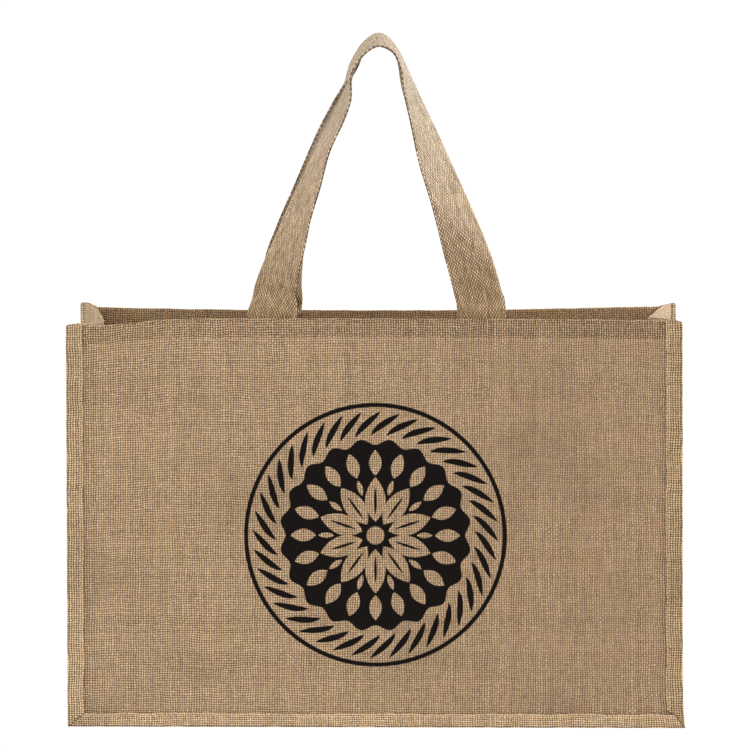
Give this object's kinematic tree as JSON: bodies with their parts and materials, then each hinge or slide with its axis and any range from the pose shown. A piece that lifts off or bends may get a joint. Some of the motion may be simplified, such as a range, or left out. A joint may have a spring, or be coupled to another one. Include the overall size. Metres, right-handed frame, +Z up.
{
  "type": "burlap shopping bag",
  "caption": "Wide rectangular burlap shopping bag that stands open, with bound edges, creased sides and raised webbing handles.",
  "frame": {"origin": "centre of the bounding box's footprint, at the surface that the bag stands on", "axes": "+X to the bag's right seen from the front, +Y from the front panel to the back panel, +Z up"},
  "size_m": [0.4606, 0.182, 0.5117],
  "materials": {
    "burlap": "dull open plain weave of undyed jute yarn, uneven and slubby",
    "burlap_tape": "dull folded strip of the same jute cloth",
    "jute_webbing": "dull dense webbing of paler jute yarn"
  },
  "bodies": {
    "root": {"front_panel": "burlap", "back_panel": "burlap", "gusset": "burlap", "front_binding": "burlap_tape", "back_binding": "burlap_tape", "front_handle": "jute_webbing", "back_handle": "jute_webbing"}
  },
  "joints": []
}
